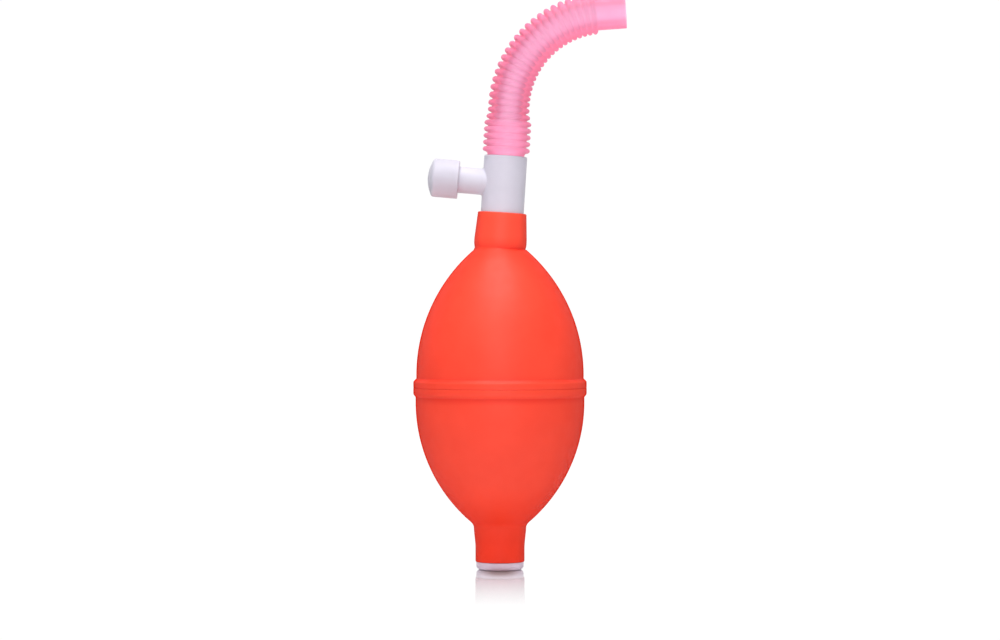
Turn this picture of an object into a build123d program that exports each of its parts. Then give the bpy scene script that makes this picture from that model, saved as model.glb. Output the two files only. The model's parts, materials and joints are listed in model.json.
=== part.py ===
"""Hand squeeze bulb pump: a two-half rubber bulb, a check valve at each end, a push-button release valve on a
T-shaped valve body, and a corrugated hose.

Squeezing the bulb drives air out through the exhaust valve in the base plug. Letting go draws air in from the
hose through the intake valve in the foot of the valve body. Pressing the button lets outside air into the hose.

Frame, in millimetres: the origin is the centre of the base plug's underside, +Z runs up the bulb, and the
button points to -X. The bulb's soft upper neck leans, so the valve body and hose are modelled in a head frame
with its origin at the neck's foot and its Z along the leaning axis.
"""

import math
import os

from build123d import *

# ---- driving dimensions, mm ----
FIT = 0.05  # gap between pieces that only touch
RUNNING = 0.08  # radial gap round a pin that slides

# bulb
WALL = 2.2
RING_R = 30.0
RING_Z = 62.85
RING_HALF = 2.2  # half the height of the ring's outer band
RING_CHAMFER = 1.15
SEAM = 0.15  # chamfer on each half where the two halves are bonded
# Each half's outline leaves the ring as an arc that starts vertical, at radius _R and height _ARC_Z.
LOWER_R = 29.2
LOWER_ARC = 54.7
LOWER_ARC_Z = 57.95
UPPER_R = 28.95
UPPER_ARC = 57.1
UPPER_ARC_Z = 67.3

# lower neck and base plug
NECK_FOOT_Z = 2.7
NECK_FOOT_R = 8.48
NECK_FOOT_EDGE = 0.35
NECK_STRAIGHT_TO = 9.0
NECK_FLARE_R = 9.1
NECK_FLARE_Z = 13.6
NECK_CORNER = 1.5  # fillet between the flare and the round body
PLUG_R = 8.19
PLUG_EDGE = 1.4
SLEEVE_R = 6.5
SLEEVE_TOP = 14.5
SLEEVE_RIDGES = (6.0, 9.5)
SLEEVE_RIDGE = 0.4
RIDGE_LENGTH = 1.2

# upper neck, in the head frame
LEAN = 3.6  # degrees from vertical, towards +X
HEAD_Z = 111.0
NECK_LENGTH = 12.4
NECK_CREASE_R = 8.7  # at the crease where the neck leaves the round body
NECK_CREASE_Z = -0.3
NECK_BARREL_R = 9.1
NECK_BARREL_Z = 2.8
NECK_MOUTH_R = 8.4
NECK_MOUTH_EDGE = 0.3
NECK_ROOT_R = 7.5  # where the round body's arc ends, inside the neck
NECK_ROOT_Z = -2.5

# valve body, in the head frame
TUBE_R = 7.45
TUBE_FOOT = 0.6
TUBE_TOP = 32.1
TUBE_BORE_R = 5.0
TUBE_RIDGES = (3.5, 7.0)
TUBE_RIDGE = 0.3
SHOULDER_EDGE = 0.5
SHOULDER = 1.5  # thickness of the wall under the shoulder
SPIGOT_SHANK_R = 5.55
SPIGOT_R = 6.05
SPIGOT_LENGTH = 11.5
SPIGOT_BORE_R = 4.4
SHANK_LENGTH = 2.2
SPIGOT_LEAD, SPIGOT_LEAD_LENGTH = 0.8, 1.8  # the taper that leads the hose on
STUB_Z = 22.5
STUB_RISE = 1.4  # degrees by which the stub points above square
STUB_R = 4.55
STUB_ROOT = 0.6  # fillet where the stub leaves the tube
STUB_END = 20.5
STUB_BORE_R = 3.3
SEAL_POCKET_R = 3.6
WEB_FROM, WEB_TO = 7.0, 8.6  # the wall the release seal closes on, as distances from the tube's axis
WEB_PORT_R = 2.2

# check valve cartridge: cage, disc and seat, the same at both ends
CARTRIDGE_R = 5.75
CARTRIDGE_BORE_R = CARTRIDGE_R + FIT
CAGE_HEIGHT = 3.7
CAGE_WALL = 0.8
SPOKE_FROM, SPOKE_TO = 0.5, 1.9
SPOKE_WIDTH = 1.0
HUB_R = 1.3
DISC_R = 4.6
DISC_THICKNESS = 0.8
DISC_STEM_R = 0.9
DISC_BEAD_R = 1.25
DISC_TRAVEL = 0.9
BEAD_CLEARANCE = 0.25  # left between the bead and the seat when the disc is fully open
SEAT_THICKNESS = 2.0
SEAT_PORT_R = 1.0
SEAT_PORT_CIRCLE = 2.9
PORTS = 6
SPOKES = 4
CARTRIDGE_HEIGHT = CAGE_HEIGHT + SEAT_THICKNESS
PLUG_CARTRIDGE_Z = 0.6
TUBE_CARTRIDGE_Z = TUBE_FOOT + 0.3  # in the head frame

# release valve, distances from the tube's axis along the stub
BUTTON_R = 6.65
BUTTON_FROM, BUTTON_SIDE_END, BUTTON_TIP = 15.8, 24.6, 26.5
BUTTON_CAVITY_R = 4.75
BUTTON_CAVITY_END = 23.9
BUTTON_EDGE = 1.0
BUTTON_RIM = 0.35
BOSS_R = 2.95
BOSS_FROM = 16.0
STEM_R = 1.1
STEM_HEAD_R = 2.6
STEM_HEAD = 0.6
STEM_END = 22.4
WASHER = 0.4
SEAL_R = 3.2
SEAL = 1.2
SPRING_COIL_R = 2.55
SPRING_WIRE_R = 0.25
SPRING_TURNS = 5

# hose, distances along its centre line from the valve body's shoulder
HOSE_WALL = 0.8
HOSE_END_R = SPIGOT_SHANK_R + FIT + HOSE_WALL  # outside of the plain end below the spigot's barb
PLAIN_END = 1.0
STRETCHED_ROOT_R = 6.85
FREE_ROOT_R = 5.9
RIB_DEPTH = 1.35
RIB_PITCH = 2.3
FIRST_RIB = 2.1
STRETCH_ENDS, STRETCH_GONE = 10.5, 15.5
HOSE_STRAIGHT = 18.0
HOSE_BEND_R = 33.7
HOSE_RIBS = 28
TAIL_LENGTH = 9.0
TAIL_START = FIRST_RIB + RIB_PITCH * HOSE_RIBS
HOSE_LENGTH = TAIL_START + TAIL_LENGTH
FLEX_AT = (25.1, 45.8)  # where the hose is parted so that it can bend
FLEX_BALL_R = 7.6
SECTIONS_PER_RIB = 4

# windows in the bulb, through which its two squeezed walls move
WINDOW_Y, WINDOW_Z = 20.0, 31.0
WINDOW_GAP = 0.2

PARTS = "parts"


def save(name, shape):
    """Writes one named piece."""
    export_step(shape, os.path.join(PARTS, name + ".step"))


def rod(radius, low, high):
    """A cylinder on the Z axis between two heights."""
    return Pos(0, 0, low) * Cylinder(radius, high - low, align=(Align.CENTER, Align.CENTER, Align.MIN))


def tube(inner, outer, low, high):
    """A hollow cylinder on the Z axis between two heights."""
    return rod(outer, low, high) - rod(inner, low - 1, high + 1)


def spun(*edges):
    """The solid swept by a closed (radius, height) outline turned about the Z axis."""
    return revolve(make_face([Plane.XZ * edge for edge in edges]), Axis.Z)


def ridge(radius, height, low):
    """A retaining ridge that tapers downwards from its sharp upper edge, round a sleeve."""
    top = low + RIDGE_LENGTH
    return spun(Polyline((0, low), (radius, low), (radius + height, top), (0, top), close=True))


HEAD = Pos(0, 0, HEAD_Z) * Rot(0, LEAN, 0)
STUB_IN_HEAD = Pos(0, 0, STUB_Z) * Rot(0, STUB_RISE - 90, 0)
STUB = HEAD * STUB_IN_HEAD


# ---- check valve cartridge ----
def valve_cage():
    """The ring that holds the seat in place, with spokes that stop the disc."""
    ring = tube(CARTRIDGE_R - CAGE_WALL, CARTRIDGE_R, 0, CAGE_HEIGHT)
    hub = rod(HUB_R, SPOKE_FROM, SPOKE_TO)
    spoke = Pos(CARTRIDGE_R / 2 - 0.1, 0, (SPOKE_FROM + SPOKE_TO) / 2)
    spoke *= Box(CARTRIDGE_R - 0.5, SPOKE_WIDTH, SPOKE_TO - SPOKE_FROM)
    cage = ring + hub
    for turn in range(SPOKES):
        cage += Rot(0, 0, 360 / SPOKES * (turn + 0.5)) * spoke
    return cage


def valve_disc():
    """The soft disc that seals under the seat, with a guide stem and a retaining bead above it."""
    top = CAGE_HEIGHT - 0.01
    bead = top + SEAT_THICKNESS + DISC_TRAVEL + BEAD_CLEARANCE
    disc = rod(DISC_R, top - DISC_THICKNESS, top)
    disc = fillet(disc.edges().group_by(Axis.Z)[0], 0.25)
    return disc + rod(DISC_STEM_R, top, bead) + Pos(0, 0, bead + 0.6) * Sphere(DISC_BEAD_R)


def valve_seat():
    """The drilled plate that the disc closes."""
    seat = rod(CARTRIDGE_R, CAGE_HEIGHT, CAGE_HEIGHT + SEAT_THICKNESS)
    seat -= rod(DISC_STEM_R + RUNNING, CAGE_HEIGHT - 1, CAGE_HEIGHT + SEAT_THICKNESS + 1)
    port = Pos(SEAT_PORT_CIRCLE, 0, 0) * rod(SEAT_PORT_R, CAGE_HEIGHT - 1, CAGE_HEIGHT + SEAT_THICKNESS + 1)
    for turn in range(PORTS):
        seat -= Rot(0, 0, turn * 360 / PORTS) * port
    return seat


# ---- base plug ----
def sleeve_outside(gap=0.0):
    """The outside of the base plug's sleeve, with its two retaining ridges."""
    sleeve = rod(SLEEVE_R + gap, NECK_FOOT_Z - 0.5, SLEEVE_TOP + gap)
    for low in SLEEVE_RIDGES:
        sleeve += ridge(SLEEVE_R + gap, SLEEVE_RIDGE, low)
    return sleeve


def exhaust_plug():
    flange = rod(PLUG_R, 0, NECK_FOOT_Z - FIT)
    flange = fillet(flange.edges().group_by(Axis.Z)[0], PLUG_EDGE)
    plug = flange + sleeve_outside()
    shoulder = PLUG_CARTRIDGE_Z + CARTRIDGE_HEIGHT
    plug -= rod(CARTRIDGE_BORE_R, -1, shoulder + 0.02)
    plug -= rod(TUBE_BORE_R, 0, SLEEVE_TOP + 1)
    return plug


# ---- bulb ----
def arc_radius(side_r, arc, arc_z, z):
    """Radius at a height on a bulb outline whose arc leaves a side of side_r at arc_z."""
    return side_r - arc + math.sqrt(arc**2 - (z - arc_z) ** 2)


def arc_height(side_r, arc, arc_z, radius, down):
    """Height at which that outline reaches a radius, below or above arc_z."""
    drop = math.sqrt(arc**2 - (radius - side_r + arc) ** 2)
    return arc_z - drop if down else arc_z + drop


def bulb_outline(side_r, arc, arc_z, end_r, down):
    """One bulb half's arc, from radius end_r at the neck to the side, and its end at the neck."""
    end_z = arc_height(side_r, arc, arc_z, end_r, down)
    mid_z = (end_z + arc_z) / 2
    start = (end_r, end_z)
    middle = (arc_radius(side_r, arc, arc_z, mid_z), mid_z)
    return ThreePointArc(start, middle, (side_r, arc_z)), start


def lower_half():
    """Lower bulb half: neck foot, flare, round body and the lower lip of the ring."""
    body, neck_top = bulb_outline(LOWER_R, LOWER_ARC, LOWER_ARC_Z, NECK_FLARE_R, True)
    chamfer_low = RING_Z - RING_HALF - RING_CHAMFER
    rest = Polyline(
        (LOWER_R, LOWER_ARC_Z),
        (LOWER_R, chamfer_low),
        (RING_R, RING_Z - RING_HALF),
        (RING_R, RING_Z - SEAM),
        (RING_R - SEAM, RING_Z),
        (0, RING_Z),
        (0, NECK_FOOT_Z),
        (NECK_FOOT_R - NECK_FOOT_EDGE, NECK_FOOT_Z),
        (NECK_FOOT_R, NECK_FOOT_Z + NECK_FOOT_EDGE),
        (NECK_FOOT_R, NECK_STRAIGHT_TO),
        (NECK_FLARE_R, NECK_FLARE_Z),
        neck_top,
    )
    outside = spun(body, rest)
    circles = outside.edges().filter_by(GeomType.CIRCLE)
    corner = circles.sort_by(lambda e: abs(e.center().Z - neck_top[1]))[0]
    outside = fillet(corner, NECK_CORNER)
    hollow, hollow_foot = bulb_outline(LOWER_R - WALL, LOWER_ARC - WALL, LOWER_ARC_Z, SLEEVE_R, True)
    hollow_rest = Polyline(
        (LOWER_R - WALL, LOWER_ARC_Z), (LOWER_R - WALL, RING_Z + 1), (0, RING_Z + 1), (0, hollow_foot[1]), hollow_foot
    )
    return outside - spun(hollow, hollow_rest) - sleeve_outside(0.02)


def tube_outside(gap=0.0):
    """The outside of the valve body's tube below its shoulder, with the ridges that grip the neck."""
    outside = rod(TUBE_R + gap, TUBE_FOOT - gap, TUBE_TOP)
    for low in TUBE_RIDGES:
        outside += ridge(TUBE_R + gap, TUBE_RIDGE, low)
    return outside


def upper_half():
    """Upper bulb half: upper lip of the ring, round body, and the leaning neck that grips the valve body."""
    body, shoulder = bulb_outline(UPPER_R, UPPER_ARC, UPPER_ARC_Z, NECK_ROOT_R, False)
    rest = Polyline(
        (UPPER_R, UPPER_ARC_Z),
        (UPPER_R, RING_Z + RING_HALF + RING_CHAMFER),
        (RING_R, RING_Z + RING_HALF),
        (RING_R, RING_Z + SEAM),
        (RING_R - SEAM, RING_Z),
        (0, RING_Z),
        (0, shoulder[1]),
        shoulder,
    )
    barrel = (NECK_BARREL_R, NECK_BARREL_Z)
    mouth = (NECK_MOUTH_R, NECK_LENGTH - NECK_MOUTH_EDGE)
    crease = (NECK_CREASE_R, NECK_CREASE_Z)
    taper = Line(barrel, mouth)
    swell = TangentArc(barrel, crease, tangent=taper % 0 * -1)
    neck_rest = Polyline(
        mouth,
        (NECK_MOUTH_R - NECK_MOUTH_EDGE, NECK_LENGTH),
        (0, NECK_LENGTH),
        (0, NECK_ROOT_Z),
        (NECK_ROOT_R, NECK_ROOT_Z),
        crease,
    )
    outside = spun(body, rest) + HEAD * spun(taper, swell, neck_rest)
    hollow, hollow_top = bulb_outline(UPPER_R - WALL, UPPER_ARC - WALL, UPPER_ARC_Z, TUBE_R - 1, False)
    hollow_rest = Polyline(
        (UPPER_R - WALL, UPPER_ARC_Z), (UPPER_R - WALL, RING_Z - 1), (0, RING_Z - 1), (0, hollow_top[1]), hollow_top
    )
    bore = rod(TUBE_R + 0.02, -6, NECK_LENGTH + 1)
    return outside - spun(hollow, hollow_rest) - HEAD * (bore + tube_outside(0.02))


def window(side, gap=0.0):
    """The elliptical prism along X that parts a squeezed wall from the rest of the bulb. side is -1 or 1."""
    ellipse = Plane.YZ * Pos(0, RING_Z) * Ellipse(WINDOW_Y + gap, WINDOW_Z + gap)
    return extrude(ellipse, amount=side * (RING_R + 1))


# ---- valve body ----
def valve_body():
    """The T: a tube pushed into the bulb's neck, a barbed spigot for the hose, and the release valve's stub."""
    barb_z = TUBE_TOP + SHANK_LENGTH
    spigot_end = TUBE_TOP + SPIGOT_LENGTH
    spigot = spun(
        Polyline(
            (0, TUBE_TOP - 1),
            (SPIGOT_SHANK_R, TUBE_TOP - 1),
            (SPIGOT_SHANK_R, barb_z),
            (SPIGOT_R, barb_z + 0.3),
            (SPIGOT_R, spigot_end - SPIGOT_LEAD_LENGTH),
            (SPIGOT_R - SPIGOT_LEAD, spigot_end),
            (0, spigot_end),
            close=True,
        )
    )
    shell = tube_outside()
    shell = fillet(shell.edges().group_by(Axis.Z)[-1], SHOULDER_EDGE)
    stub = STUB_IN_HEAD
    body = shell + stub * rod(STUB_R, TUBE_BORE_R - 0.5, STUB_END)
    body = fillet(body.edges().filter_by(GeomType.BSPLINE), STUB_ROOT) + spigot
    body -= rod(CARTRIDGE_BORE_R, TUBE_FOOT - 1, TUBE_CARTRIDGE_Z + CARTRIDGE_HEIGHT + 0.02)
    body -= rod(TUBE_BORE_R, 0, TUBE_TOP - SHOULDER) + rod(SPIGOT_BORE_R, 0, spigot_end + 1)
    body -= stub * (rod(SEAL_POCKET_R, 0, WEB_FROM) + rod(WEB_PORT_R, 0, WEB_TO + 1))
    body -= stub * rod(STUB_BORE_R, WEB_TO, STUB_END + 1)
    return HEAD * body


# ---- release valve, built along Z as if the stub pointed up ----
def release_button():
    """The push button: a domed cup over the stub, with a boss inside that holds the stem."""
    dome = ThreePointArc((BUTTON_R, BUTTON_SIDE_END), (BUTTON_R * 0.55, BUTTON_TIP - 0.55), (0, BUTTON_TIP))
    rest = Polyline((0, BUTTON_TIP), (0, BUTTON_FROM), (BUTTON_R, BUTTON_FROM), (BUTTON_R, BUTTON_SIDE_END))
    button = spun(dome, rest)
    circles = button.edges().filter_by(GeomType.CIRCLE)
    corner = circles.sort_by(lambda e: abs(e.center().Z - BUTTON_SIDE_END))[0]
    button = fillet(corner, BUTTON_EDGE)
    button = fillet(button.edges().group_by(Axis.Z)[0], BUTTON_RIM)
    button -= rod(BUTTON_CAVITY_R, 0, BUTTON_CAVITY_END) - rod(BOSS_R, BOSS_FROM, BUTTON_TIP)
    return button - rod(STEM_R + 0.02, 0, STEM_END + 0.1)


def release_stem():
    """The headed pin that pulls the seal onto its seat."""
    head_top = WEB_FROM - SEAL - WASHER - 2 * FIT
    head = rod(STEM_HEAD_R, head_top - STEM_HEAD, head_top)
    head = fillet(head.edges().group_by(Axis.Z)[0], 0.25)
    return head + rod(STEM_R, head_top - 0.1, STEM_END)


def seal_washer():
    """The thin metal washer that backs the seal."""
    low = WEB_FROM - SEAL - WASHER - FIT
    return tube(STEM_R + 0.03, STEM_HEAD_R + 0.3, low, low + WASHER - 0.02)


def release_seal():
    """The rubber washer that closes the web's port."""
    return tube(STEM_R + 0.02, SEAL_R, WEB_FROM - SEAL, WEB_FROM - 0.01)


def release_spring():
    """The coil between the web and the button's boss, holding the valve shut."""
    low = WEB_TO + SPRING_WIRE_R + FIT
    height = BOSS_FROM - SPRING_WIRE_R - FIT - low
    path = Pos(0, 0, low) * Helix(height / SPRING_TURNS, height, SPRING_COIL_R)
    wire = Plane(path @ 0, z_dir=path % 0) * Circle(SPRING_WIRE_R)
    return sweep(wire, path=path, is_frenet=True)


# ---- hose ----
def hose_place(s):
    """The frame on the hose's centre line at distance s: straight up the head's axis, then a bend towards +X."""
    bend = math.degrees(max(0.0, min(s, TAIL_START) - HOSE_STRAIGHT) / HOSE_BEND_R)
    straight = min(s, HOSE_STRAIGHT)
    x = HOSE_BEND_R * (1 - math.cos(math.radians(bend)))
    z = TUBE_TOP + straight + HOSE_BEND_R * math.sin(math.radians(bend))
    tail = max(0.0, s - TAIL_START)
    return HEAD * Pos(x, 0, z) * Rot(0, bend, 0) * Pos(0, 0, tail)


def smooth_step(t):
    t = max(0.0, min(1.0, t))
    return t * t * (3 - 2 * t)


def root_radius(s):
    """Outside radius between ribs at distance s: stretched by the spigot's barb, then easing to its free size."""
    if s <= PLAIN_END:
        return HOSE_END_R
    stretch = smooth_step((STRETCH_GONE - s) / (STRETCH_GONE - STRETCH_ENDS))
    return FREE_ROOT_R + (STRETCHED_ROOT_R - FREE_ROOT_R) * stretch


def hose_radius(s):
    """Outside radius of the hose at distance s."""
    ribbed = PLAIN_END < s < TAIL_START - RIB_PITCH / 2
    wave = 0.5 + 0.5 * math.cos(2 * math.pi * (s - FIRST_RIB) / RIB_PITCH)
    return root_radius(s) + (RIB_DEPTH * wave if ribbed else 0)


def hose_stations():
    """Distances along the hose where its section is set."""
    step = RIB_PITCH / SECTIONS_PER_RIB
    ribs = [FIRST_RIB + step * n for n in range(-1, HOSE_RIBS * SECTIONS_PER_RIB - 1)]
    return [FIT, PLAIN_END - 0.4, *ribs, TAIL_START]


def hose():
    """The whole corrugated hose, with its plain end on the spigot and its plain cuff at the far end."""
    stations = hose_stations()
    outside = loft([hose_place(s) * Circle(hose_radius(s)) for s in stations], ruled=True)
    inside = loft([hose_place(s) * Circle(root_radius(s) - HOSE_WALL) for s in stations], ruled=True)
    cuff = tube(FREE_ROOT_R - HOSE_WALL, FREE_ROOT_R, 0, TAIL_LENGTH)
    return outside - inside + hose_place(stations[-1]) * cuff


def flex_region(s, gap=0.0):
    """Everything before the flex point at s, with a ball round that point, so that the next run can turn on it."""
    place = hose_place(s)
    before = place * Pos(0, 0, -HOSE_LENGTH) * Box(4 * HOSE_LENGTH, 4 * HOSE_LENGTH, 2 * HOSE_LENGTH)
    return before, place * Sphere(FLEX_BALL_R + gap)


def hose_runs():
    """The hose parted at its flex points into three runs."""
    rest = hose()
    runs = []
    for s in FLEX_AT:
        before, ball = flex_region(s)
        _, clear = flex_region(s, 0.1)
        runs.append((rest & before) + (rest & ball))
        rest = rest - before - clear
    return [*runs, rest]


def main():
    os.makedirs(PARTS, exist_ok=True)

    halves = {"bulb_lower_half": lower_half(), "bulb_upper_half": upper_half()}
    for side, name in ((-1, "left_squeeze_wall"), (1, "right_squeeze_wall")):
        prism = window(side)
        save(name, sum((half & prism for half in halves.values()), start=Part()))
    for name, half in halves.items():
        save(name, half - window(-1, WINDOW_GAP) - window(1, WINDOW_GAP))

    save("exhaust_plug", exhaust_plug())
    save("valve_body", valve_body())
    for label, place in (("exhaust", Pos(0, 0, PLUG_CARTRIDGE_Z)), ("intake", HEAD * Pos(0, 0, TUBE_CARTRIDGE_Z))):
        save(label + "_cage", place * valve_cage())
        save(label + "_disc", place * valve_disc())
        save(label + "_seat", place * valve_seat())

    for piece in (release_button, release_stem, release_seal, seal_washer, release_spring):
        save(piece.__name__, STUB * piece())

    for name, run in zip(("hose_lower_run", "hose_middle_run", "hose_upper_run"), hose_runs()):
        save(name, run)


main()
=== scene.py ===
import json
import math

import bpy
import numpy as np
from mathutils import Matrix, Vector


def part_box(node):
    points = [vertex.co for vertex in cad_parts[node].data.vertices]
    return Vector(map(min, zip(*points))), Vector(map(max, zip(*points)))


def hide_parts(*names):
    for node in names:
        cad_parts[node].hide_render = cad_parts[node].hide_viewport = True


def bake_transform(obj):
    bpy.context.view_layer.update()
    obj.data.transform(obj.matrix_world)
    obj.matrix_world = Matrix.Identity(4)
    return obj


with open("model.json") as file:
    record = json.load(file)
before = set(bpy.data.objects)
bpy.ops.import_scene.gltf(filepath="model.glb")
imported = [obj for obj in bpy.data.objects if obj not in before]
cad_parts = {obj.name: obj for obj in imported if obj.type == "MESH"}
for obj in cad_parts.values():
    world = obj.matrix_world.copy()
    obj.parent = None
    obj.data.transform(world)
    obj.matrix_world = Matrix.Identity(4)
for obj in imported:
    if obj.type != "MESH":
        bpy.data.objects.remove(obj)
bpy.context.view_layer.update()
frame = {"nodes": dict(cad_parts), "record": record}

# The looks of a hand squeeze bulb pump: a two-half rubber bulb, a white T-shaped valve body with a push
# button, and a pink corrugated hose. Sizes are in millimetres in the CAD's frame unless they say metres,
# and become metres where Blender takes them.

MM = 0.001


def box_mm(node):
    """A CAD node's lowest and highest corners at rest, in millimetres."""
    low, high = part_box(node)
    return np.array(low) / MM, np.array(high) / MM


# ---- sizes: bulb ----
lower_low, lower_high = box_mm("bulb_lower_half")
FOOT_Z = lower_low[2]  # the lower neck's end, on the plug's flange
SEAM_Z = lower_high[2]  # where the bulb's halves meet
RING_R = lower_high[1]
RING_HALF = 2.2
RING_CHAMFER = 1.0
# each half's outline leaves the ring as an arc that starts upright, at radius _R and height _ARC_Z
LOWER_R, LOWER_ARC, LOWER_ARC_Z = 29.2, 54.7, SEAM_Z - 4.9
UPPER_R, UPPER_ARC, UPPER_ARC_Z = 28.95, 57.1, SEAM_Z + 4.45
WALL = 2.2
SLEEVE_R = 6.55  # the lower neck's bore
FOOT_R, STRAIGHT_TO = 8.48, 8.5
FLARE_R, FLARE_TO = 9.1, 13.4
OUTLINE_STEP = 1.2  # longest edge of an outline

# ---- sizes: valve body, with distances up the leaning tube from the upper neck's foot ----
HEAD_Z = 111.0
LEAN = math.radians(3.6)
NECK_LENGTH, NECK_BARREL_R, NECK_MOUTH_R = 12.4, 9.1, 8.4
TUBE_R = 7.45
TUBE_TOP = 32.1
STUB_Z = 22.5  # the side stub's height up the tube
STUB_RISE = math.radians(1.4)  # and its tilt above square

# ---- sizes: release spring, with distances from the tube's axis along the stub ----
SPRING_FROM, SPRING_TO = 8.65, 15.95
SPRING_COIL_R, SPRING_WIRE_R = 2.55, 0.25
SPRING_TURNS = 5

# ---- sizes: hose, with distances along its centre line from the valve body's shoulder ----
HOSE_START = 0.05
HOSE_WALL = 0.8
HOSE_END_R = 6.4
STRETCHED_ROOT_R, FREE_ROOT_R = 6.85, 5.9
STRETCH_ENDS, STRETCH_GONE = 10.5, 15.5
SPIGOT_LENGTH = 11.5
FILLED_EDGE = 3  # length over which the filled look gives way to the hollow one
RIB_DEPTH = 1.35
RIB_WIDTH = 0.80  # share of the pitch that a bead fills
RIB_PITCH = 2.3
FIRST_RIB = 2.1
HOSE_RIBS = 28
PARTED_AFTER = 14.5  # pitches from the first rib to the valley where the hose's two pieces meet
HOSE_STRAIGHT = 18.0
HOSE_BEND_R = 33.7
BEND_EASE = 5.0
VALLEY_FILL = 0.5  # share of a valley's depth lost on the inside of the bend
RIB_SHARP = 80  # degrees: ribs are smooth, only the hose's ends are sharp
CUFF_START = FIRST_RIB + RIB_PITCH * HOSE_RIBS
CUFF_LENGTH = 9.0
HOSE_SEGMENTS = 96
LOWER_FLEX, UPPER_FLEX = 25.1, 45.8  # the two hinges

# mesh attributes of the hose
OUTWARD = "outward"  # the direction away from the hose's centre line
FILLED = "filled"  # 1 where the spigot fills the hose, 0 where it is hollow
VALLEY = "valley"  # 1 at the bottom of a valley between two ribs, 0 at a rib's top

# ---- studio ----
CONTACT_R = 6.7  # the floor's painted contact shadow is dark up to here
CONTACT_FADE = 1.13  # and white from this many times further out
SHADE_R = 80  # and, as painted shade, throws less light up to here
CONTACT_SHADE = (8.0, 20.0, 13.0)  # half width, half length and forward shift of the soft oval of painted shadow
REFLECTION_REACH = 135
FLOOR_HALF = 3.0  # metres
FLOOR_DROP = 0.02  # keeps the floor off the plug's underside
LIGHTS = (  # name, place, aim, width and height in metres, watts, colour
    ("front_box", (0, -1.15, 0.35), (0, 0, 0.1), 0.3, 0.5, 3.0, (1, 1, 1)),
    ("top_box", (-0.02, -0.17, 0.60), (-0.01, -0.05, 0.1), 0.30, 0.55, 2.95, (1, 1, 1)),
    ("bulb_glow", (-0.015, -0.05, 0.09), (-0.015, 0, 0.135), 0.04, 0.02, 0.0024, (1, 0.22, 0.20)),
)
CAMERA_PLACE = (0, -1.05, 0.093)  # metres
CAMERA_LENS, CAMERA_SENSOR, CAMERA_SHIFT = 109.2, 36, -0.0194


# ---- outlines ----
def rounded(points, cuts, steps=6):
    """A polyline with chosen corners rounded: cuts maps a corner's number to the length cut each way."""
    out = []
    for i, p in enumerate(points):
        if i not in cuts:
            out.append(p)
            continue
        corner, before, after = (np.array(q, float) for q in (p, points[i - 1], points[i + 1]))
        a = corner + (before - corner) * min(0.5, cuts[i] / math.dist(before, corner))
        b = corner + (after - corner) * min(0.5, cuts[i] / math.dist(after, corner))
        for t in np.linspace(0, 1, steps):
            out.append(tuple(a * (1 - t) ** 2 + corner * 2 * t * (1 - t) + b * t**2))
    return out


def refined(points):
    """The same polyline with no edge longer than the outlines' step."""
    out = [points[0]]
    for a, b in zip(points, points[1:]):
        count = max(1, math.ceil(math.dist(a, b) / OUTLINE_STEP))
        for t in np.linspace(0, 1, count + 1)[1:]:
            out.append((a[0] + (b[0] - a[0]) * t, a[1] + (b[1] - a[1]) * t))
    return out


def body_arc(side_r, arc, arc_z, end_r, turn, count=48):
    """A bulb outline's arc from its side to the neck, turn being -1 downwards and 1 upwards."""
    angles = np.linspace(0, math.acos((end_r - side_r + arc) / arc), count)
    return [(side_r - arc + arc * math.cos(a), arc_z + turn * arc * math.sin(a)) for a in angles]


# ---- meshes ----
def around(count):
    """The angles of a ring's points."""
    return np.linspace(0, 2 * math.pi, count, endpoint=False)


def mesh_from(name, points, faces):
    """A mesh from points in millimetres."""
    mesh = bpy.data.meshes.new(name)
    mesh.from_pydata((np.array(points) * MM).tolist(), [], faces)
    return mesh


def skin(name, rings, segments=192):
    """A closed mesh through rings, the last joined to the first. Each is a (frame, radius) pair, with one
    radius for a circle or one for each segment."""
    turn = around(segments)
    flat, ones = 0 * turn, 1 + 0 * turn
    points = []
    for place, radius in rings:
        ring = np.stack([radius * np.cos(turn), radius * np.sin(turn), flat, ones])
        points.append((np.array(place) @ ring)[:3].T)
    faces = []
    for i in range(len(rings)):
        a, b = i * segments, (i + 1) % len(rings) * segments
        faces += [(a + k, a + (k + 1) % segments, b + (k + 1) % segments, b + k) for k in range(segments)]
    return mesh_from(name, np.concatenate(points), faces)


def piece(name, mesh, look, sharp=45):
    """An object from a mesh, smooth but for its sharp edges."""
    obj = bpy.data.objects.new(name, mesh)
    bpy.context.scene.collection.objects.link(obj)
    mesh.materials.append(look)
    mesh.shade_smooth()
    mesh.set_sharp_from_angle(angle=math.radians(sharp))
    return obj


def up(z):
    return Matrix.Translation((0, 0, z))


def head():
    """The frame of the leaning neck and everything above it."""
    return up(HEAD_Z) @ Matrix.Rotation(LEAN, 4, "Y")


def stub():
    """The frame of the side stub, whose Z points out along it."""
    return head() @ up(STUB_Z) @ Matrix.Rotation(STUB_RISE - math.pi / 2, 4, "Y")


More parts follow.
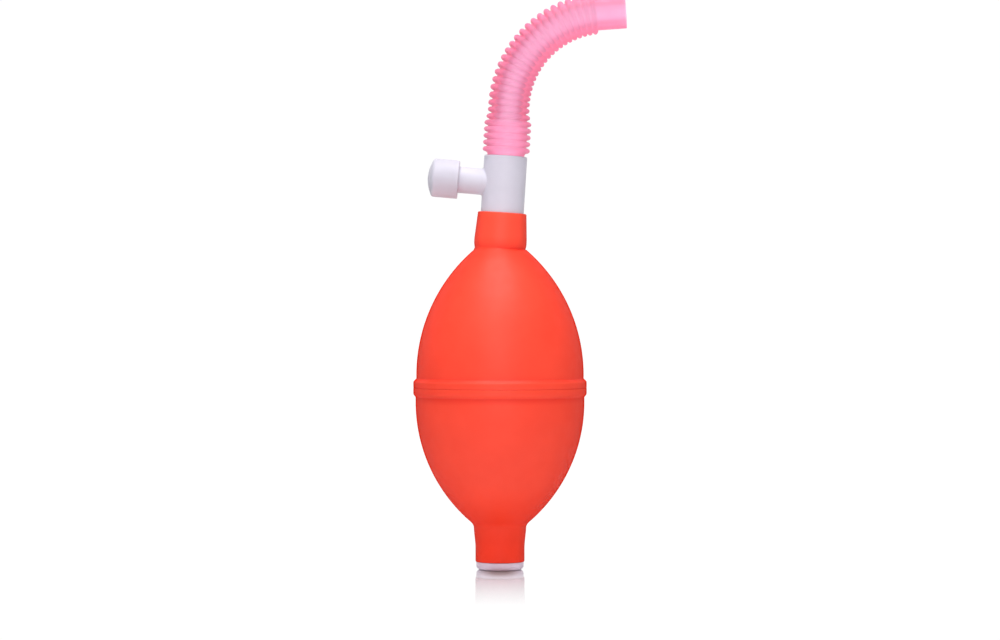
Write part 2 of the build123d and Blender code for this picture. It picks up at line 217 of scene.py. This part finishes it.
# ---- materials ----
class Nodes:
    """The node tree of a material or world, and short calls to add nodes to it. Any value may be a number,
    a vector, a colour without its alpha, or another node's output."""

    def __init__(self, owner):
        owner.use_nodes = True
        self.owner, self.tree = owner, owner.node_tree

    def join(self, value, socket):
        if isinstance(value, bpy.types.NodeSocket):
            self.tree.links.new(value, socket)
        else:
            socket.default_value = (*value, 1) if socket.type == "RGBA" else value

    def set(self, node, **inputs):
        """Sets a node's named inputs, with _ for a space."""
        for name, value in inputs.items():
            self.join(value, node.inputs[name.replace("_", " ")])

    def add(self, kind, settings=None, **inputs):
        node = self.tree.nodes.new(kind)
        for key, value in (settings or {}).items():
            setattr(node, key, value)
        self.set(node, **inputs)
        return node

    def ramp(self, value, low, high, out_low=0.0, out_high=1.0):
        """Takes low..high to out_low..out_high, and holds the ends."""
        spans = {"From_Min": low, "From_Max": high, "To_Min": out_low, "To_Max": out_high}
        return self.add("ShaderNodeMapRange", Value=value, **spans).outputs["Result"]

    def maths(self, operation, a, b):
        made = self.add("ShaderNodeMath", {"operation": operation})
        self.join(a, made.inputs[0])
        self.join(b, made.inputs[1])
        return made.outputs["Value"]

    def measure(self, operation, *vectors):
        """A number from vectors, such as their DOT_PRODUCT or one's LENGTH."""
        made = self.add("ShaderNodeVectorMath", {"operation": operation})
        for vector, socket in zip(vectors, made.inputs):
            self.join(vector, socket)
        return made.outputs["Value"]

    def part(self, vector, axis):
        return self.add("ShaderNodeSeparateXYZ", Vector=vector).outputs[axis]

    def ray(self, kind):
        """1 for rays of one kind, such as Is Camera Ray."""
        return self.add("ShaderNodeLightPath").outputs[kind]

    def mix(self, share, a, b):
        """Colour or vector a where share is 0 and b where it is 1."""
        made = self.add("ShaderNodeMix", {"data_type": "RGBA"})
        for socket, value in ((0, share), (6, a), (7, b)):  # the node's factor and its two colours
            self.join(value, made.inputs[socket])
        return made.outputs[2]

    def blend(self, share, a, b):
        """Surface a where share is 0 and surface b where it is 1."""
        made = self.add("ShaderNodeMixShader", Fac=share)
        self.join(a, made.inputs[1])
        self.join(b, made.inputs[2])
        return made.outputs[0]

    def stops(self, value, *stops):
        """Colour by value, from (value, colour) stops in rising order."""
        made = self.add("ShaderNodeValToRGB", Fac=value)
        band = made.color_ramp.elements
        for position, _ in stops[2:]:
            band.new(position)
        for element, (position, colour) in zip(band, stops):
            element.position, element.color = position, (*colour, 1)
        return made.outputs["Color"]


class Look(Nodes):
    """A new material with a Principled surface, patterned in its object's own space."""

    def __init__(self, name):
        super().__init__(bpy.data.materials.new(name))
        self.principled = self.tree.nodes["Principled BSDF"]
        self.place = self.add("ShaderNodeTexCoord").outputs["Object"]

    def surface(self, **inputs):
        """Sets the Principled surface's named inputs."""
        self.set(self.principled, **inputs)
        return self.principled.outputs[0]

    def show(self, surface):
        """Puts a surface in the Principled one's place."""
        self.set(self.tree.nodes["Material Output"], Surface=surface)

    def noise(self, size, detail=3.0, stretch=None):
        """Noise whose features are about size across."""
        where = self.place
        if stretch:
            where = self.add("ShaderNodeMapping", Vector=where, Scale=stretch).outputs["Vector"]
        made = self.add("ShaderNodeTexNoise", Vector=where, Scale=1 / (size * MM), Detail=detail)
        return made.outputs["Fac"]

    def geometry(self, name):
        return self.add("ShaderNodeNewGeometry").outputs[name]

    def attribute(self, name, output="Fac"):
        return self.add("ShaderNodeAttribute", {"attribute_name": name}).outputs[output]

    def bumps(self, *layers):
        """Bump from (height, depth) layers, each on the one before."""
        normal = None
        for height, depth in layers:
            bump = self.add("ShaderNodeBump", Height=height, Distance=depth * MM, Strength=1.0)
            if normal:
                self.set(bump, Normal=normal)
            normal = bump.outputs["Normal"]
        self.surface(Normal=normal)
        return normal


def rubber():
    """Soft matte orange-red rubber: powdery grain, faint blotches and paler along its raised edges. It is
    paler where it is stretched over the tube, which also paints in the neck's highlight, and has painted
    shade: deeper low down, under the ring, in its creases and where it turns away."""
    m = Look("bulb_rubber_look")
    blotch = m.ramp(m.noise(14, 2), 0.35, 0.65)
    colour = m.mix(blotch, (0.95, 0.050, 0.019), (0.99, 0.057, 0.023))
    speck = m.ramp(m.noise(0.5, 2), 0.62, 0.75, 0, 0.10)
    colour = m.mix(speck, colour, (0.85, 0.042, 0.016))

    height = m.part(m.place, "Z")
    # painted shade: deeper colour and less sheen low down, where the bulb above shades the lower neck
    painted_low_shade = m.ramp(height, 10 * MM, 30 * MM, 1.0, 0.0)
    colour = m.mix(painted_low_shade, colour, (0.99, 0.044, 0.015))
    # painted shade: a deeper band in the crease just under the ring's lower lip
    crease = (SEAM_Z - RING_HALF - RING_CHAMFER) * MM
    above = m.ramp(height, crease, crease + 0.3 * MM, 1, 0)
    painted_shade_under_ring = m.maths("MULTIPLY", m.ramp(height, crease - 2.2 * MM, crease - 0.2 * MM, 0, 0.9), above)
    colour = m.mix(painted_shade_under_ring, colour, (0.90, 0.026, 0.008))
    # paler where the neck is stretched over the tube, which also paints in the neck's highlight
    stretched = m.ramp(height, (HEAD_Z + 0.5) * MM, (HEAD_Z + 4) * MM)
    colour = m.mix(stretched, colour, (1.0, 0.070, 0.032))

    raised = m.ramp(m.geometry("Pointiness"), 0.505, 0.56, 0, 0.35)
    colour = m.mix(raised, colour, (1.0, 0.11, 0.06))
    # painted shade: ambient occlusion deepens the colour in creases and corners
    open_sky = m.add("ShaderNodeAmbientOcclusion", {"samples": 6}, Distance=2 * MM).outputs["AO"]
    colour = m.mix(m.ramp(open_sky, 0.6, 0.95), (0.86, 0.022, 0.008), colour)
    # painted shade: the colour deepens where the surface turns away from the eye, and the sheen fades there
    away = m.add("ShaderNodeLayerWeight", Blend=0.5).outputs["Facing"]
    colour = m.mix(m.ramp(away, 0.3, 0.9, 0, 0.9), colour, (0.84, 0.028, 0.009))
    mirrored = m.ray("Is Glossy Ray")  # greyer in the floor's weak reflection
    colour = m.mix(mirrored, colour, (0.68, 0.41, 0.50))

    shine = m.maths("MULTIPLY", m.ramp(away, 0.15, 0.85, 0.40, 0.0), m.ramp(painted_low_shade, 0, 1, 1, 0.5))
    m.surface(Base_Color=colour, Roughness=m.ramp(m.noise(3, 4), 0.3, 0.7, 0.48, 0.56),
              Specular_IOR_Level=shine, Subsurface_Weight=0.06, Subsurface_Radius=(1.0, 0.25, 0.12),
              Subsurface_Scale=1.2 * MM)
    m.bumps((m.noise(5, 3), 0.05), (m.noise(0.35, 3), 0.012))
    return m.owner


def plastic(name, shade):
    """Satin white moulded plastic: a fine eroded grain, faint flow lines and a slightly uneven gloss."""
    m = Look(name)
    paler = tuple(min(1, 1.045 * v) for v in shade)
    m.surface(Base_Color=m.mix(m.ramp(m.noise(9, 2), 0.35, 0.65), shade, paler),
              Roughness=m.ramp(m.noise(1.5, 4), 0.3, 0.7, 0.38, 0.48), Specular_IOR_Level=0.3,
              Subsurface_Weight=0.1, Subsurface_Radius=(1.0, 0.9, 0.95), Subsurface_Scale=0.8 * MM)
    m.bumps((m.noise(4, 2, (1, 1, 0.25)), 0.02), (m.noise(0.25, 3), 0.004))
    return m.owner


def silicone():
    """Milky silicone."""
    m = Look("silicone_look")
    m.surface(Base_Color=m.mix(m.ramp(m.noise(2), 0.3, 0.7), (0.72, 0.72, 0.69), (0.8, 0.8, 0.78)),
              Roughness=m.ramp(m.noise(0.8), 0.3, 0.7, 0.45, 0.6),
              Subsurface_Weight=0.3, Subsurface_Scale=1.0 * MM)
    m.bumps((m.noise(0.4), 0.005))
    return m.owner


def steel():
    """Drawn stainless wire and pin, with lines along the drawing direction."""
    m = Look("steel_look")
    lines = m.noise(0.3, 3, (0.08, 1, 1))
    m.surface(Base_Color=m.mix(m.ramp(lines, 0.3, 0.7), (0.5, 0.5, 0.51), (0.66, 0.66, 0.67)),
              Roughness=m.ramp(lines, 0.3, 0.7, 0.22, 0.4), Metallic=1.0)
    m.bumps((lines, 0.003))
    return m.owner


def vinyl():
    """Translucent pink vinyl, with painted light in its colour. Where it grips the spigot it looks solid.
    Beyond, the light behind it shows through its middle, partly through real transparency and partly as a
    painted pale streak, between two painted darker bands where the line of sight grazes its bore, and its
    sides are deeper pink. A painted glow, as emission, stands in for light passed along inside the wall,
    stronger on the hose's underside, in the ribs' valleys and on the ribs' undersides, lifting their shade."""
    m = Look("hose_vinyl_look")
    outward = m.attribute(OUTWARD, "Vector")
    filled = m.attribute(FILLED)
    facing = m.maths("ABSOLUTE", m.measure("DOT_PRODUCT", outward, m.geometry("Incoming")), 0)

    # painted light and shade: colour by how squarely the hose faces the eye; the hollow part gets a pale
    # streak down its middle and darker bands beside it
    solid = m.stops(
        facing, (0.3, (0.84, 0.20, 0.34)), (0.75, (0.75, 0.235, 0.385)), (1.0, (0.77, 0.30, 0.47)))
    hollow = m.stops(
        facing, (0.3, (1.0, 0.25, 0.41)), (0.70, (0.95, 0.25, 0.395)), (0.82, (0.72, 0.24, 0.375)),
        (0.88, (0.75, 0.28, 0.43)), (0.94, (0.88, 0.39, 0.59)), (1.0, (0.98, 0.48, 0.71)))
    glow = m.mix(filled, hollow, solid)
    glow = m.mix(m.ramp(m.noise(3, 3), 0.3, 0.7, 0, 0.15), glow, (0.97, 0.34, 0.55))
    # the base colour deepens in the middle, where the painted glow takes over
    colour = m.mix(m.ramp(facing, 0.3, 0.9, 0.15, 0.45), glow, (0.3, 0.05, 0.12))

    # painted glow: emission stands in for light passed along inside the wall, stronger on the hose's
    # downward-facing side and in its middle
    from_above = m.ramp(m.part(outward, "Z"), -0.9, 0.1, 1.6, 1.0)
    scattered = m.maths("MULTIPLY", m.ramp(facing, 0.3, 0.9, 0.3, 0.56), from_above)
    # painted light lifting the shade in the ribs' valleys and on their undersides
    valley_lift = m.maths("MULTIPLY", m.ramp(facing, 0.4, 0.8, 0.1, 0.45), m.attribute(VALLEY))
    slope = m.part(m.geometry("True Normal"), "Z")
    underside = m.maths("MULTIPLY", m.ramp(slope, -0.6, 0.1, 0.35, 0), m.ramp(facing, 0.5, 0.9))
    lifted = m.maths("ADD", m.maths("ADD", valley_lift, underside), 1.0)

    softened = m.mix(0.92, m.bumps((m.noise(0.9), 0.012)), outward)
    wall = m.surface(
        Normal=softened, Base_Color=colour, Roughness=m.ramp(m.noise(1.2), 0.3, 0.7, 0.34, 0.44),
        Specular_IOR_Level=0.3, Subsurface_Weight=0.8, Subsurface_Radius=(1.0, 0.6, 0.75),
        Subsurface_Scale=1.3 * MM, Emission_Color=glow,
        Emission_Strength=m.maths("MULTIPLY", scattered, lifted))
    back = m.add("ShaderNodeBsdfTranslucent", Color=colour, Normal=softened).outputs[0]
    clear_colour = m.mix(facing, (1.0, 0.6, 0.75), (1.0, 0.80, 0.92))
    clear = m.add("ShaderNodeBsdfTransparent", Color=clear_colour).outputs[0]
    body = m.blend(m.ramp(filled, 0, 1, 0.3, 0.1), wall, back)
    seen_through = m.maths("MULTIPLY", m.ramp(facing, 0.7, 1.0, 0.08, 0.4), m.ramp(filled, 0, 1, 1, 0))
    m.show(m.blend(seen_through, body, clear))
    return m.owner


def vinyl_bore():
    """The hose's bore and end rim: the same vinyl, nearly clear, so that the wall is coloured once."""
    m = Look("hose_bore_look")
    colour = m.mix(m.ramp(m.noise(2), 0.3, 0.7), (0.96, 0.38, 0.58), (0.97, 0.44, 0.66))
    wall = m.surface(Base_Color=colour, Roughness=m.ramp(m.noise(1.2), 0.3, 0.7, 0.3, 0.4))
    clear = m.add("ShaderNodeBsdfTransparent", Color=(1, 0.97, 0.98)).outputs[0]
    m.show(m.blend(0.85, wall, clear))
    return m.owner


def floor_look():
    """Glossy white sheet, clear from below. Painted shade: a dark contact shadow under the pump, darker
    bounce light around it and a soft brownish oval of shadow forward in its reflection, which soon fades.
    """
    m = Look("floor_look")
    away = m.measure("LENGTH", m.place)
    camera = m.ray("Is Camera Ray")
    contact = CONTACT_R * MM
    # painted shade: for bounced light the floor is dark by the pump and lightens outwards, so it throws less
    # light up
    lit = m.mix(m.ramp(away, contact, SHADE_R * MM), (0.03, 0.02, 0.02), (0.8, 0.8, 0.8))
    # painted contact shadow: to the camera the floor is evenly white but dark under the pump
    glow = m.mix(m.ramp(away, contact, CONTACT_FADE * contact), (0.12, 0.09, 0.09), (1.03, 1.03, 1.03))
    sheet = m.surface(Base_Color=m.mix(camera, lit, (0, 0, 0)), Roughness=0.9, Specular_IOR_Level=0.0,
                      Emission_Color=glow, Emission_Strength=camera)

    # painted shadow: a soft brownish oval, thrown forward, darkens the floor's reflection
    across, forward, ahead = CONTACT_SHADE
    scale = (1 / (across * MM), 1 / (forward * MM), 0)
    oval = m.add("ShaderNodeMapping", Vector=m.place, Scale=scale, Location=(0, ahead / forward, 0))
    within = m.measure("LENGTH", oval.outputs["Vector"])
    painted_shadow_tint = m.mix(m.ramp(within, 0.35, 1.0), (0.50, 0.33, 0.32), (1, 1, 1))
    gloss = m.add("ShaderNodeBsdfGlossy", Color=painted_shadow_tint, Roughness=0.06).outputs[0]
    fade = m.maths("POWER", m.ramp(away, 0.0, REFLECTION_REACH * MM, 1.0, 0.0), 1.3)
    clear = m.add("ShaderNodeBsdfTransparent").outputs[0]
    m.show(m.blend(m.geometry("Backfacing"), m.blend(fade, sheet, gloss), clear))
    return m.owner


# ---- bulb ----
def lower_rings():
    """The lower half: foot, flared neck, round body and the ring's lower lip, then back down inside."""
    arc = body_arc(LOWER_R, LOWER_ARC, LOWER_ARC_Z, FLARE_R, -1)[::-1]
    lip = SEAM_Z - RING_HALF
    neck = [
        (SLEEVE_R, FOOT_Z),
        (FOOT_R, FOOT_Z),
        (FOOT_R, STRAIGHT_TO),
        (FLARE_R - 0.1, FLARE_TO),
        arc[0],
        arc[3],
    ]
    neck = rounded(neck, {1: 0.45, 2: 1.2, 3: 0.7, 4: 1.6})[:-1]
    ring = [
        arc[-1],
        (LOWER_R, lip - RING_CHAMFER),
        (RING_R, lip),
        (RING_R, SEAM_Z),
        (LOWER_R - WALL, SEAM_Z),
    ]
    ring = rounded(ring, {1: 0.15, 2: 0.4, 3: 0.22})[1:]
    inner = body_arc(LOWER_R - WALL, LOWER_ARC - WALL, LOWER_ARC_Z, SLEEVE_R, -1)
    outline = refined(neck + arc[3:] + ring + inner + [(SLEEVE_R, FOOT_Z)])[:-1]
    return [(up(z), r) for r, z in outline]


def upper_rings():
    """The upper half: the ring's upper lip, round body and leaning neck, then back down inside."""
    arc = body_arc(UPPER_R, UPPER_ARC, UPPER_ARC_Z, NECK_BARREL_R, 1)
    lip = SEAM_Z + RING_HALF
    ring = [
        (UPPER_R - WALL, SEAM_Z),
        (RING_R, SEAM_Z),
        (RING_R, lip),
        (UPPER_R, lip + RING_CHAMFER),
        arc[0],
    ]
    ring = rounded(ring, {1: 0.22, 2: 0.4, 3: 0.15})[:-1]
    body = ring + [p for p in arc if p[1] < HEAD_Z - 0.4]
    neck = [
        (NECK_BARREL_R - 0.32, 0),
        (NECK_BARREL_R - 0.05, 1.2),
        (NECK_BARREL_R, 2.8),
        (NECK_MOUTH_R, NECK_LENGTH),
        (TUBE_R + 0.02, NECK_LENGTH),
        (TUBE_R + 0.02, -1.2),
    ]
    neck = rounded(neck, {1: 0.8, 2: 1.2, 3: 0.4, 4: 0.15})
    inner = body_arc(UPPER_R - WALL, UPPER_ARC - WALL, UPPER_ARC_Z, TUBE_R + 0.6, 1)[::-1]
    runs = ((up(0), body), (head(), neck), (up(0), inner))
    return [(place @ up(z), r) for place, outline in runs for r, z in refined(outline)]


def bulb(look):
    """The bulb's two halves, which take the place of the CAD halves and squeeze walls."""
    for name, rings, nodes in (
        ("bulb_lower_skin", lower_rings(), ("bulb_lower_half", "left_squeeze_wall")),
        ("bulb_upper_skin", upper_rings(), ("bulb_upper_half", "right_squeeze_wall")),
    ):
        obj = piece(name, skin(name, rings), look)
        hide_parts(*nodes)
        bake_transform(obj)


# ---- release spring ----
def spring_mesh(name, steps=40, sides=12):
    """A helix of round wire with closed ends, along the stub."""
    count = SPRING_TURNS * steps
    low, high = SPRING_FROM + SPRING_WIRE_R, SPRING_TO - SPRING_WIRE_R
    rise = (high - low) / (2 * math.pi * SPRING_TURNS)
    points = []
    for turn in np.linspace(0, 2 * math.pi * SPRING_TURNS, count + 1):
        outward = Vector((math.cos(turn), math.sin(turn), 0))
        along = Vector((-SPRING_COIL_R * outward.y, SPRING_COIL_R * outward.x, rise)).normalized()
        across = along.cross(outward)
        centre = SPRING_COIL_R * outward + Vector((0, 0, low + rise * turn))
        for a in around(sides):
            off_centre = math.cos(a) * outward + math.sin(a) * across
            points.append(stub() @ (centre + SPRING_WIRE_R * off_centre))
    faces = [tuple(range(sides))[::-1], tuple(range(count * sides, (count + 1) * sides))]
    for i in range(count):
        for k in range(sides):
            a, b = i * sides + k, i * sides + (k + 1) % sides
            faces.append((a, b, b + sides, a + sides))
    return mesh_from(name, points, faces)


def release_spring(look):
    """The coil behind the button, in place of the CAD spring."""
    obj = piece("release_spring_coil", spring_mesh("release_spring_coil"), look)
    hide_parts("release_spring")
    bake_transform(obj)


# ---- hose ----
def hose_place(s):
    """The frame on the hose's centre line at distance s."""
    bend = max(0.0, min(s, CUFF_START) - HOSE_STRAIGHT) / HOSE_BEND_R
    x = HOSE_BEND_R * (1 - math.cos(bend))
    z = TUBE_TOP + min(s, HOSE_STRAIGHT) + HOSE_BEND_R * math.sin(bend)
    along = max(0.0, s - CUFF_START)
    return head() @ Matrix.Translation((x, 0, z)) @ Matrix.Rotation(bend, 4, "Y") @ up(along)


def root_radius(s):
    """Outside radius between the ribs: stretched over the spigot, then easing to its free size."""
    t = min(1.0, max(0.0, (STRETCH_GONE - s) / (STRETCH_GONE - STRETCH_ENDS)))
    stretched = FREE_ROOT_R + (STRETCHED_ROOT_R - FREE_ROOT_R) * t * t * (3 - 2 * t)
    start = min(1.0, max(0.0, s - 0.4))
    return HOSE_END_R + (stretched - HOSE_END_R) * start


def rib(s):
    """Height of the round rib bead at distance s, above the root."""
    if s < FIRST_RIB - RIB_PITCH / 2 or s > CUFF_START - RIB_PITCH / 2:
        return 0.0
    u = (s - FIRST_RIB) / RIB_PITCH
    u = 2 * (u - round(u)) / RIB_WIDTH
    return RIB_DEPTH * math.sqrt(max(0.0, 1 - u * u))


def outside_radii(s):
    """Outside radius round the hose at distance s. Valleys are shallower along the inside of the bend."""
    bent = min(1.0, max(0.0, (s - HOSE_STRAIGHT + BEND_EASE) / (2 * BEND_EASE)))
    filled_in = VALLEY_FILL * bent * np.clip(np.cos(around(HOSE_SEGMENTS)), 0, 1)
    ribbed = FIRST_RIB < s < CUFF_START - RIB_PITCH / 2
    return root_radius(s) + RIB_DEPTH - (RIB_DEPTH - rib(s)) * (1 - filled_in * ribbed)


def hose_stations(start, end, steps=14):
    """Distances of the rings of a run of hose: along its outside, then back along its bore."""
    count = round((end - start) / RIB_PITCH * steps)
    outer = np.linspace(start, end, count + 1)
    return outer, outer[::-4]


def mark_hose(mesh, stations):
    """Writes the attributes that the vinyl's look reads, for a hose mesh with rings at the stations."""
    centres = np.repeat([hose_place(s).translation for s in stations], HOSE_SEGMENTS, axis=0) * MM
    outward = np.array([v.co for v in mesh.vertices]) - centres
    outward /= np.linalg.norm(outward, axis=1, keepdims=True)
    mesh.attributes.new(OUTWARD, "FLOAT_VECTOR", "POINT").data.foreach_set("vector", outward.ravel())
    filled = np.clip((SPIGOT_LENGTH + FILLED_EDGE / 2 - stations) / FILLED_EDGE, 0, 1)
    valley = [1 - rib(s) / RIB_DEPTH for s in stations]
    for name, values in ((FILLED, filled), (VALLEY, valley)):
        attribute = mesh.attributes.new(name, "FLOAT", "POINT")
        attribute.data.foreach_set("value", np.repeat(values, HOSE_SEGMENTS))


def hose(look, bore_look):
    """The hose in two pieces, parted in a valley of its middle run, in place of the CAD runs."""
    parting = FIRST_RIB + RIB_PITCH * PARTED_AFTER
    hose_end = CUFF_START + CUFF_LENGTH
    lower = ("hose_lower_skin", HOSE_START, parting, LOWER_FLEX, ("pump_body", "hose_middle"))
    upper = ("hose_upper_skin", parting, hose_end, UPPER_FLEX, ("hose_middle", "hose_upper"))
    for (name, start, end, flex, bodies), nodes in (
        (lower, ("hose_lower_run",)),
        (upper, ("hose_middle_run", "hose_upper_run")),
    ):
        outer, inner = hose_stations(start, end)
        rings = [(hose_place(s), outside_radii(s)) for s in outer]
        rings += [(hose_place(s), root_radius(s) - HOSE_WALL) for s in inner]
        mesh = skin(name, rings, HOSE_SEGMENTS)
        mark_hose(mesh, np.concatenate([outer, inner]))
        obj = piece(name, mesh, look, RIB_SHARP)
        mesh.materials.append(bore_look)
        for face in mesh.polygons[(len(outer) - 1) * HOSE_SEGMENTS:]:
            face.material_index = 1
        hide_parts(*nodes)
        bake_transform(obj)


# ---- looks of the CAD nodes ----
def finish_cad_nodes(metal):
    """Gives the CAD pieces that stay visible their materials."""
    white = plastic("white_plastic_look", (0.558, 0.537, 0.623))
    # painted light: the valve body gets a paler copy of the white plastic for the light on its front, and
    # the plug a paler, pinker copy for the bulb's pink bounce light
    own = {
        "valve_body": plastic("valve_body_look", (0.60, 0.585, 0.675)),
        "exhaust_plug": plastic("base_plug_look", (0.74, 0.61, 0.73)),
    }
    looks = {"white_plastic": white, "valve_silicone": silicone(), "spring_steel": metal}
    for part in frame["record"]["subparts"]:
        look = own.get(part["node"]) or looks.get(part["material_slot"])
        if look:
            for slot in frame["nodes"][part["node"]].material_slots:
                slot.material = look


# ---- studio ----
def studio_world():
    """White all round to the camera and glossy surfaces. As a light, it is brighter behind than in front."""
    world = Nodes(bpy.data.worlds.new("studio"))
    direction = world.add("ShaderNodeTexCoord").outputs["Generated"]
    lit = world.ramp(world.part(direction, "Y"), -1.0, 1.0, 0.25, 0.7)
    strength = world.ramp(world.ray("Is Diffuse Ray"), 0.0, 1.0, 1.02, lit)
    world.set(world.tree.nodes["Background"], Strength=strength, Color=(1, 1, 1))
    return world.owner


def area_light(name, place, aim, width, height, power, colour):
    """A soft box at place, turned towards aim."""
    data = bpy.data.lights.new(name, "AREA")
    data.shape, data.size, data.size_y = "RECTANGLE", width, height
    data.energy, data.color = power, colour
    obj = bpy.data.objects.new(name, data)
    obj.location = place
    obj.visible_camera = False
    obj.rotation_euler = (Vector(aim) - obj.location).to_track_quat("-Z", "Y").to_euler()
    bpy.context.scene.collection.objects.link(obj)


def floor_sheet():
    mesh = bpy.data.meshes.new("floor")
    corners = [(x * FLOOR_HALF, y * FLOOR_HALF, 0) for x, y in ((-1, -1), (1, -1), (1, 1), (-1, 1))]
    mesh.from_pydata(corners, [], [(0, 1, 2, 3)])
    mesh.materials.append(floor_look())
    obj = bpy.data.objects.new("floor", mesh)
    obj.location.z = -FLOOR_DROP * MM
    bpy.context.scene.collection.objects.link(obj)


def studio():
    scene = bpy.context.scene
    scene.view_settings.view_transform = "Standard"
    scene.view_settings.look = "None"
    scene.world = studio_world()
    floor_sheet()
    for light in LIGHTS:
        area_light(*light)

    data = bpy.data.cameras.new("camera")
    data.sensor_width, data.lens, data.shift_y = CAMERA_SENSOR, CAMERA_LENS, CAMERA_SHIFT
    camera = bpy.data.objects.new("camera", data)
    camera.location = CAMERA_PLACE
    camera.rotation_euler = (math.radians(90), 0, 0)
    scene.collection.objects.link(camera)
    scene.camera = camera


bulb(rubber())
hose(vinyl(), vinyl_bore())
metal = steel()
release_spring(metal)
finish_cad_nodes(metal)
studio()
